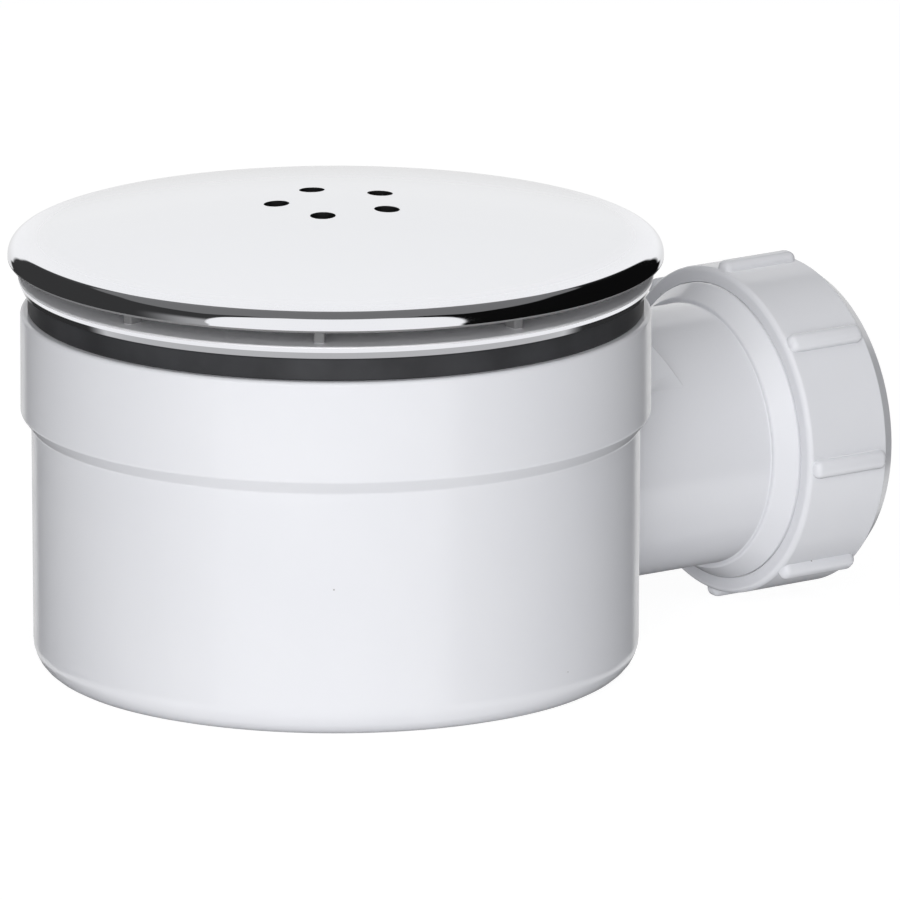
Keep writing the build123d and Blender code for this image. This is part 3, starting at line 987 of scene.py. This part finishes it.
# %% Turn the dip tube
DIP_BORE, DIP_OUT, DIP_LOW = 24.5, 26.7, 10.6
DIP_RIM_OUT, DIP_RIM_IN, DIP_RIM_TOP, DIP_PLATE_TOP = 40.1, 35.9, 62.5, 60.5
GROOVE_RADIUS, GROOVE_HEIGHT, GROOVE_HALF = 38.4, 60.5, 1.2
dip = turned("dip_tube_insert", rounded(
    (DIP_BORE, DIP_LOW, 0.4),
    (DIP_OUT, DIP_LOW, 0.4),
    (DIP_OUT, LEDGE_HEIGHT, 0.8),
    (DIP_RIM_OUT, LEDGE_HEIGHT, 0.3),
    (DIP_RIM_OUT, GROOVE_HEIGHT - GROOVE_HALF, 0.1),
    (GROOVE_RADIUS, GROOVE_HEIGHT - GROOVE_HALF, 0.3),
    (GROOVE_RADIUS, GROOVE_HEIGHT + GROOVE_HALF, 0.3),
    (DIP_RIM_OUT, GROOVE_HEIGHT + GROOVE_HALF, 0.1),
    (DIP_RIM_OUT, DIP_RIM_TOP, 0.3),
    (DIP_RIM_IN, DIP_RIM_TOP, 0.3),
    (DIP_RIM_IN, DIP_PLATE_TOP, 0.4),
    (DIP_BORE, DIP_PLATE_TOP, 0.6),
))
mounted(dip, "dip_tube", "trap", insert_plastic)

# %% Turn the O-ring
O_RING_CIRCLE, O_RING_RADIUS = 39.4, 0.97
o_ring_centre = Vector((O_RING_CIRCLE, GROOVE_HEIGHT))
o_ring_outline = []
for quarter in range(4):
    spokes = [Vector((math.cos(a), math.sin(a))) * O_RING_RADIUS
              for a in (quarter * math.pi / 2, (quarter + 1) * math.pi / 2)]
    o_ring_outline += arc(o_ring_centre, *spokes)[:-1]
o_ring = turned("o_ring", o_ring_outline)
mounted(o_ring, "dip_tube_o_ring", "trap", rubber)

# %% Turn the cup
CUP_RADIUS, CUP_INSIDE, CUP_RIM, CUP_FLOOR = 37.6, 35.6, 50.5, 4.6
CUP_ROUND, CUP_INNER_ROUND, CUP_RIM_ROUND = 2.0, 1.2, 0.6
cup = turned("water_cup", rounded(
    (0, FLOOR, 0),
    (CUP_RADIUS, FLOOR, CUP_ROUND),
    (CUP_RADIUS, CUP_RIM, CUP_RIM_ROUND),
    (CUP_INSIDE, CUP_RIM, CUP_RIM_ROUND),
    (CUP_INSIDE, CUP_FLOOR, CUP_INNER_ROUND),
    (0, CUP_FLOOR, 0),
))
mounted(cup, "trap_cup", "trap", insert_plastic)

# %% [markdown]
# ## The strainer
# The strainer is a disc with a hub and twelve slots. A slot with round ends is drawn
# as a flat outline, and the ring tree cuts its copies out of the disc.

# %% Turn the strainer and cut its slots
STRAINER_RADIUS, STRAINER_TOP, HUB_RADIUS, HUB_TOP, HUB_BORE = 35.6, 62.5, 6.5, 70.5, 3.9
SLOT_COUNT, SLOT_LENGTH, SLOT_WIDTH, SLOT_MIDDLE = 12, 12.0, 3.6, 18.5
SLOT_END_STEPS, STRAINER_SEGMENTS = 12, 144
strainer_outline = rounded(
    (0, DIP_PLATE_TOP, 0),
    (STRAINER_RADIUS, DIP_PLATE_TOP, 0.3),
    (STRAINER_RADIUS, STRAINER_TOP, 0.5),
    (HUB_RADIUS, STRAINER_TOP, 0.8),
    (HUB_RADIUS, HUB_TOP, 0.5),
    (HUB_BORE, HUB_TOP, 0.4),
    (HUB_BORE, STRAINER_TOP, 0.3),
    (0, STRAINER_TOP, 0),
)
strainer = turned("hair_strainer", strainer_outline, segments=STRAINER_SEGMENTS)
slot_outline = []
for end, first in ((1, -math.pi / 2), (-1, math.pi / 2)):
    middle = SLOT_MIDDLE + end * (SLOT_LENGTH - SLOT_WIDTH) / 2
    for step in range(SLOT_END_STEPS + 1):
        angle = first + math.pi * step / SLOT_END_STEPS
        slot_outline.append((middle + SLOT_WIDTH / 2 * math.cos(angle), SLOT_WIDTH / 2 * math.sin(angle)))
slot_place = Matrix.Translation((0, 0, (DIP_PLATE_TOP + STRAINER_TOP) / 2 * MM))
slot_depth = STRAINER_TOP - DIP_PLATE_TOP + 2 * SUNK
slot = bar("slot", slot_outline, slot_depth, LEAST_ROUND, slot_place)
with_ring(strainer, "DIFFERENCE", slot, SLOT_COUNT, WASTE, 0, insert_plastic)
renew_directions(strainer, [(strainer_outline, WASTE)])
mounted(strainer, "strainer", "trap", insert_plastic)

# %% [markdown]
# ## The nut and its seals
# The nut squeezes a tapered rubber ring onto the waste pipe through a hard slip
# ring. Its sleeve ends in a chamfer and carries eight rounded lugs for the
# hand. The lugs are one bar, repeated about the outlet axis.

# %% Turn the nut and add its lugs
NUT_NEAR, NUT_FAR, NUT_BORE, NUT_HOLE, NUT_SHOULDER = 29.3, 29.2, 26.4, 22.15, 97.7
NUT_MOUTH, NUT_CHAMFER, NUT_TIP = 0.2, 3.0, 26.9
NUT_EDGE_ROUND, NUT_END_ROUND, NUT_MOUTH_ROUND = 1.0, 0.4, 0.1
LUG_COUNT, LUG_TURN, LUG_WIDTH, LUG_TIP, LUG_ROUND = 8, 3.0, 3.4, 30.9, 1.33
LUG_NEAR_INSET, LUG_FAR_INSET = 0.6, 3.5
LUG_START, LUG_END = NUT_START + LUG_NEAR_INSET, NUT_END - LUG_FAR_INSET

nut_outline = rounded(
    (NUT_BORE, NUT_START + NUT_MOUTH, NUT_MOUTH_ROUND),
    (NUT_BORE + NUT_MOUTH, NUT_START, NUT_MOUTH_ROUND),
    (NUT_NEAR, NUT_START, NUT_EDGE_ROUND),
    (NUT_FAR, NUT_END - NUT_CHAMFER, NUT_END_ROUND),
    (NUT_TIP, NUT_END, NUT_END_ROUND),
    (NUT_HOLE, NUT_END, 0.5),
    (NUT_HOLE, NUT_SHOULDER, 0.3),
    (NUT_BORE, NUT_SHOULDER, 0.4),
)
nut = turned("grip_nut", nut_outline, OUTLET, FINE_SEGMENTS)
lug_root = NUT_BORE + NUT_MOUTH
lug_outline = (
    (LUG_START, -lug_root),
    (LUG_START, -LUG_TIP),
    (LUG_END, -LUG_TIP),
    (LUG_END, -lug_root),
)
lug = bar("lug", lug_outline, LUG_WIDTH, LUG_ROUND, WASTE)
with_ring(nut, "UNION", lug, LUG_COUNT, OUTLET, LUG_TURN, body_plastic)
renew_directions(nut, [(nut_outline, OUTLET)])
mounted(nut, "compression_nut", "nut", body_plastic)

# %% Turn the slip ring
SLIP_START, SLIP_IN, SLIP_OUT = 96.1, 21.95, 25.9
slip = turned("slip_washer", rounded(
    (SLIP_IN, SLIP_START, 0.2),
    (SLIP_OUT, SLIP_START, 0.2),
    (SLIP_OUT, NUT_SHOULDER, 0.2),
    (SLIP_IN, NUT_SHOULDER, 0.2),
), OUTLET)
mounted(slip, "slip_ring", "slip_ring", body_plastic)

# %% Turn the cone seal
SEAL_BORE, SEAL_HEAD, SEAL_NOSE, SEAL_NOSE_START, SEAL_SEAT_GAP = 21.65, 25.5, 22.45, 89.4, 0.05
seal = turned("tapered_seal", rounded(
    (SEAL_BORE, SEAL_NOSE_START, 0.2),
    (SEAL_NOSE, SEAL_NOSE_START, 0.2),
    (SEAT_RADIUS - SEAL_SEAT_GAP, SPIGOT_END, 0.1),
    (SEAL_HEAD, SPIGOT_END, 0.3),
    (SEAL_HEAD, SLIP_START, 0.4),
    (SEAL_BORE, SLIP_START, 0.3),
), OUTLET)
mounted(seal, "cone_seal", "trap", rubber)

# %% [markdown]
# ## The thread
# The nut runs on a coarse thread of 4 mm pitch. A spiral curve swept with an oval
# section makes it, half sunk in the wall that carries it. The same tree makes the
# ridge in the nut, half a pitch further on, so that the two run in each other's gaps.

# %% Build the thread tree
SPIRAL_STEPS, OVAL_STEPS = 96, 16
THREAD_INPUTS = {
    "Radius": "Float",
    "Turns": "Float",
    "Length": "Float",
    "Start": "Vector",
    "Oval": "Vector",
    "Material": "Material",
}


def thread_tree():
    """A Geometry Nodes tree that sweeps an oval along a spiral about Z."""
    tree, given = start_tree("thread", **THREAD_INPUTS)
    spiral = add_node(
        tree,
        "GeometryNodeCurveSpiral",
        0,
        Resolution=SPIRAL_STEPS,
        Rotations=given["Turns"],
        Start_Radius=given["Radius"],
        End_Radius=given["Radius"],
        Height=given["Length"],
        Reverse=True,
    )
    upright = add_node(tree, "GeometryNodeSetCurveNormal", "Curve", Curve=spiral)
    upright.node.mode = "Z_UP"
    circle = add_node(tree, "GeometryNodeCurvePrimitiveCircle", 0, Resolution=OVAL_STEPS, Radius=1.0)
    oval = add_node(tree, "GeometryNodeTransform", "Geometry", Geometry=circle, Scale=given["Oval"])
    section = {"Curve": upright, "Profile_Curve": oval, "Fill_Caps": True}
    sweep = add_node(tree, "GeometryNodeCurveToMesh", "Mesh", **section)
    shifted = add_node(tree, "GeometryNodeTransform", "Geometry", Geometry=sweep, Translation=given["Start"])
    real = add_node(tree, "GeometryNodeRealizeInstances", "Geometry", Geometry=shifted)
    smooth = add_node(tree, "GeometryNodeSetShadeSmooth", "Geometry", Geometry=real)
    end_tree(smooth, given["Material"])
    return tree


THREAD = thread_tree()

# %% Sweep the two threads
PITCH, OVAL_WIDTH = 4.0, 0.8
SPIGOT_OVAL, SPIGOT_THREAD_START, SPIGOT_THREAD_END = 1.15, 82.6, 90.2
NUT_OVAL, NUT_THREAD_START, NUT_THREAD_END = 0.8, SPIGOT_THREAD_START + PITCH / 2, 90.6


def thread(name, body, radius, height, start, end):
    """One thread about the outlet axis, from start to end in mm, riding on a body."""
    piece = add_object(name, bpy.data.meshes.new(name))
    run_tree(
        piece,
        THREAD,
        Radius=radius * MM,
        Turns=(end - start) / PITCH,
        Length=(end - start) * MM,
        Start=(0.0, 0.0, start * MM),
        Oval=(height * MM, OVAL_WIDTH * MM, MM),
        Material=body_plastic,
    )
    piece.data.transform(OUTLET)
    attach(piece, body)
    print(name, "has", len(piece.data.polygons), "faces")
    return piece


threads = (
    thread("spigot_thread", "trap", THREAD_ROOT, SPIGOT_OVAL, SPIGOT_THREAD_START, SPIGOT_THREAD_END),
    thread("nut_thread", "nut", NUT_BORE, NUT_OVAL, NUT_THREAD_START, NUT_THREAD_END),
)

# %% [markdown]
# ## The floor, the light and the room
# The picture has a plain white ground and very even light. The floor shows white
# to the camera and lights the underside of the trap a little. A weaker world lights
# it from all round, least from behind on the right, and two soft lamps do the rest.

# %% Directions of the picture
AZIMUTH, ELEVATION = math.radians(-35.24), math.radians(13.76)
toward = Vector((math.sin(AZIMUTH), -math.cos(AZIMUTH), 0))
rightward = Vector((math.cos(AZIMUTH), math.sin(AZIMUTH), 0))
upward = Vector((0, 0, 1))
print("camera side", [round(v, 3) for v in toward])

# %% [markdown]
# ## The white floor
# A painted floor alone would look grey, and a glowing one would show no shadow, so
# this one is a mix: mostly glow for the rays that see it, mostly paint for the rays
# that only carry light. Mirrors show neither the floor nor the outlet pieces. They
# show a drawn room instead, which follows.

# %% Lay the floor
scene = bpy.context.scene
scene.view_settings.view_transform = "Standard"
FLOOR_SIZE, FLOOR_WHITE, FLOOR_GLOW = 8.0, (0.92, 0.92, 0.92, 1), 1.15
FLOOR_SHOWN, FLOOR_LIT = 0.8, 0.14


def seen_directly(tree):
    """1 for camera, mirror and see-through rays, 0 for the rays that only light things."""
    path = tree.nodes.new("ShaderNodeLightPath")
    return most(*[Value(path.outputs[f"Is {kind} Ray"]) for kind in ("Camera", "Glossy", "Transmission")])


def show_mix(share, first, second, end):
    """Ends a tree with a mix of two shaders, of which the second has the share."""
    mix = add_node(share.tree, "ShaderNodeMixShader", "Shader", Fac=share)
    feed(first, mix.node.inputs[1])
    feed(second, mix.node.inputs[2])
    feed(mix, share.tree.nodes.new(end).inputs["Surface"])


def white_ground():
    """Floor material: part glow, so that it reads white, and part paint, so that it keeps shadows."""
    material = bpy.data.materials.new("pale_floor")
    material.use_nodes = True
    tree = material.node_tree
    tree.nodes.clear()
    paint = add_node(tree, "ShaderNodeBsdfDiffuse", "BSDF", Color=FLOOR_WHITE)
    glow = add_node(tree, "ShaderNodeEmission", "Emission", Strength=FLOOR_GLOW)
    shown = most(seen_directly(tree) * FLOOR_SHOWN, FLOOR_LIT)
    show_mix(shown, paint, glow, "ShaderNodeOutputMaterial")
    return material


half = FLOOR_SIZE / 2
floor_corners = [(-half, -half, 0), (half, -half, 0), (half, half, 0), (-half, half, 0)]
floor_mesh = bpy.data.meshes.new("floor")
floor_mesh.from_pydata(floor_corners, [], [(0, 1, 2, 3)])
floor_mesh.materials.append(white_ground())
floor = add_object("floor", floor_mesh)
for piece in (floor, body, nut, slip, seal, *threads):
    piece.visible_glossy = False
print("floor of", FLOOR_SIZE, "m")

# %% [markdown]
# ## What the chrome sees
# A mirror is only as good as the room around it: the rim needs something dark to
# mirror, or it would vanish against the white. The room for mirrors is drawn
# in the world by direction: a white front with round corners, dark sides, a white
# back, a grey ceiling and a pale ground with a painted shadow that darkens it
# towards the foot of the trap.
# Directions are given in degrees, as a turn away from the camera side and a rise.

# %% Measure the direction of a ray
def ramp(value, start, end):
    """A soft step from 0 at start to 1 at end."""
    step = add_node(value.tree, "ShaderNodeMapRange", "Result", Value=value, From_Min=start, From_Max=end)
    step.node.interpolation_type = "SMOOTHSTEP"
    return step


def share_along(tree, axis):
    """The part of the ray's direction along an axis."""
    node = tree.nodes.new("ShaderNodeVectorMath")
    node.operation = "DOT_PRODUCT"
    feed(add_node(tree, "ShaderNodeTexCoord", "Generated"), node.inputs[0])
    feed(axis, node.inputs[1])
    return Value(node.outputs["Value"])


def ray_angles(tree):
    """How far a ray goes right, its turn away from the camera side and its rise, both in degrees."""
    aside = share_along(tree, rightward)
    turn = math_node("ARCTAN2", abs(aside), share_along(tree, toward))
    rise = math_node("ARCSINE", share_along(tree, upward))
    return aside, math_node("DEGREES", turn), math_node("DEGREES", rise)


# %% Draw the room for mirrors
EDGE_SOFT, BACK_SOFT = 1.0, 2.0
FRONT_HALF, FRONT_MIDDLE, FRONT_HEIGHT, FRONT_CORNER = 46.0, 14.0, 46.0, 24.0
BACK_FROM, BACK_MORE, BACK_MORE_RISE = 153.0, 14.0, (12, 30)
BACK_LOW, BACK_LOW_RISE = 5.0, (-3, -9)
GROUND_FROM, GROUND_LIFT, GROUND_LIFT_TURN = -22.0, 5.5, (138, 150)
LEFT_GREY, LEFT_GLOW, RIGHT_GREY = 0.04, 0.35, 0.004
GLOW_TURN, GLOW_RISE = (75, 47), (25, 5)
FOOT_SLANT, FOOT_DEPTH, FOOT_SHADOW_LOSS = 0.16, (-49.0, -63.0), 0.47
BEHIND_SLANT, BEHIND_DEPTH, BEHIND_TURN, BEHIND_LOSS = 0.345, (-75.2, -77.2), (108, 126), 0.97
FAR_RISE, FAR_TURN, FAR_LOSS = (10, -12), (140, 160), 0.2
CEILING_HEIGHTS, CEILING_TURNS = (60.0, 49.5, 38.5, 42.5), ((48, 62), (122, 164), (166, 180))
CEILING_GREY = 0.18


def mirror_room(tree):
    """The brightness of the room in a direction, as mirrors see it."""
    aside, turn, rise = ray_angles(tree)
    over = most(turn - (FRONT_HALF - FRONT_CORNER), 0)
    above = most(abs(rise - FRONT_MIDDLE) - (FRONT_HEIGHT - FRONT_CORNER), 0)
    corner = math_node("SQRT", over * over + above * above)
    front = ramp(corner, FRONT_CORNER + EDGE_SOFT, FRONT_CORNER - EDGE_SOFT)
    back_edge = ramp(rise, *BACK_MORE_RISE) * BACK_MORE + ramp(rise, *BACK_LOW_RISE) * BACK_LOW + BACK_FROM
    back = ramp(turn - back_edge, -BACK_SOFT, BACK_SOFT)
    lift = ramp(turn, *GROUND_LIFT_TURN) * GROUND_LIFT
    ground = ramp(rise - lift, GROUND_FROM + EDGE_SOFT, GROUND_FROM - EDGE_SOFT)

    glow = ramp(turn, *GLOW_TURN) * ramp(rise, *GLOW_RISE)
    dark = most((glow * LEFT_GLOW + LEFT_GREY) * (aside < 0), RIGHT_GREY)
    # painted shadow: the ground dims near the foot of the trap, as the trap's shadow on the floor would
    foot = ramp(rise - turn * FOOT_SLANT, *FOOT_DEPTH)
    behind = ramp(rise - turn * BEHIND_SLANT, *BEHIND_DEPTH) * ramp(turn, *BEHIND_TURN)
    far = ramp(rise, *FAR_RISE) * ramp(turn, *FAR_TURN)
    dimming = most(foot * FOOT_SHADOW_LOSS, behind * BEHIND_LOSS, far * FAR_LOSS)
    walls = most(front, back, ground, dark) * (1 - dimming)

    level = rise
    for span, height, following in zip(CEILING_TURNS, CEILING_HEIGHTS, CEILING_HEIGHTS[1:]):
        level = level - ramp(turn, *span) * (following - height)
    ceiling = ramp(level, CEILING_HEIGHTS[0] - EDGE_SOFT, CEILING_HEIGHTS[0] + EDGE_SOFT)
    return walls * (1 - ceiling) + ceiling * CEILING_GREY


# %% [markdown]
# ## The world
# The world has two sides. The rays that see something get plain white, or the drawn
# room if they come off a mirror, and the rays that only light things get weak cool light.

# %% Make the world
ROOM_LIGHT, ROOM_TONE = 0.3, (0.97, 0.98, 1.0, 1)
SHADE_LOSS, SHADE_SPAN = 0.8, (0.4, 1.0)
world = bpy.data.worlds.new("white_room")
scene.world = world
world.use_nodes = True
tree = world.node_tree
tree.nodes.clear()
mirrored = add_node(tree, "ShaderNodeLightPath", "Is Glossy Ray")
seen = (1 - mirrored) + mirrored * mirror_room(tree)
shown = add_node(tree, "ShaderNodeBackground", "Background", Color=(1, 1, 1, 1), Strength=seen)
shade = ramp(share_along(tree, (rightward - toward).normalized()), *SHADE_SPAN) * SHADE_LOSS
weak = (1 - shade) * ROOM_LIGHT
lighting = add_node(tree, "ShaderNodeBackground", "Background", Color=ROOM_TONE, Strength=weak)
show_mix(seen_directly(tree), lighting, shown, "ShaderNodeOutputWorld")
print("room light", ROOM_LIGHT)

# %% [markdown]
# ## The lamps
# A large lamp beside the camera gives the round walls their soft fall-off. A weaker
# one overhead lights mostly what faces up, so the outlet does not sink into the dark.
# Neither shows in mirrors, which have their own room.

# %% Place the lamps
LAMPS = {
    "front_lamp": {"place": (1.3, -0.16, 0.42), "size": 0.9, "power": 11.8},
    "top_lamp": {"place": (0.1, 0.15, 1.2), "size": 0.8, "power": 2.8},
}


def soft_lamp(name, place, size, power):
    """A square lamp at a place (towards the camera, to the right, up), turned to the origin."""
    light = bpy.data.lights.new(name, "AREA")
    light.shape = "SQUARE"
    light.size = size
    light.energy = power
    lamp = add_object(name, light)
    near, aside, high = place
    lamp.location = toward * near + rightward * aside + upward * high
    lamp.rotation_euler = lamp.location.to_track_quat("Z", "Y").to_euler()
    lamp.visible_camera = False
    lamp.visible_glossy = False
    print(name, "at", [round(v, 2) for v in lamp.location])


for name, values in LAMPS.items():
    soft_lamp(name, **values)

# %% [markdown]
# ## The camera
# The picture was taken from far off with a long lens, so the rims are almost pure
# ellipses. The camera looks at the point in the middle of the frame, which leaves
# its shift at zero.

# %% The camera
IMAGE_WIDTH = 900
PIXELS_PER_MM = 5.69
ORIGIN_COLUMN, ORIGIN_ROW = 336.1, 665.6
CAMERA_DISTANCE, SENSOR_WIDTH = 5.0, 36.0

camera_data = bpy.data.cameras.new("camera")
camera = add_object("camera", camera_data)
scene.camera = camera
back = toward * math.cos(ELEVATION) + upward * math.sin(ELEVATION)
frame_up = upward * math.cos(ELEVATION) - toward * math.sin(ELEVATION)
to_right = (IMAGE_WIDTH / 2 - ORIGIN_COLUMN) / PIXELS_PER_MM * MM
to_top = (ORIGIN_ROW - IMAGE_WIDTH / 2) / PIXELS_PER_MM * MM
target = rightward * to_right + frame_up * to_top
camera.location = target + back * CAMERA_DISTANCE
camera.rotation_euler = back.to_track_quat("Z", "Y").to_euler()
camera_data.sensor_width = SENSOR_WIDTH
camera_data.lens = SENSOR_WIDTH * CAMERA_DISTANCE / (IMAGE_WIDTH / PIXELS_PER_MM * MM)
print("lens", round(camera_data.lens), "mm, target", [round(v, 4) for v in target])
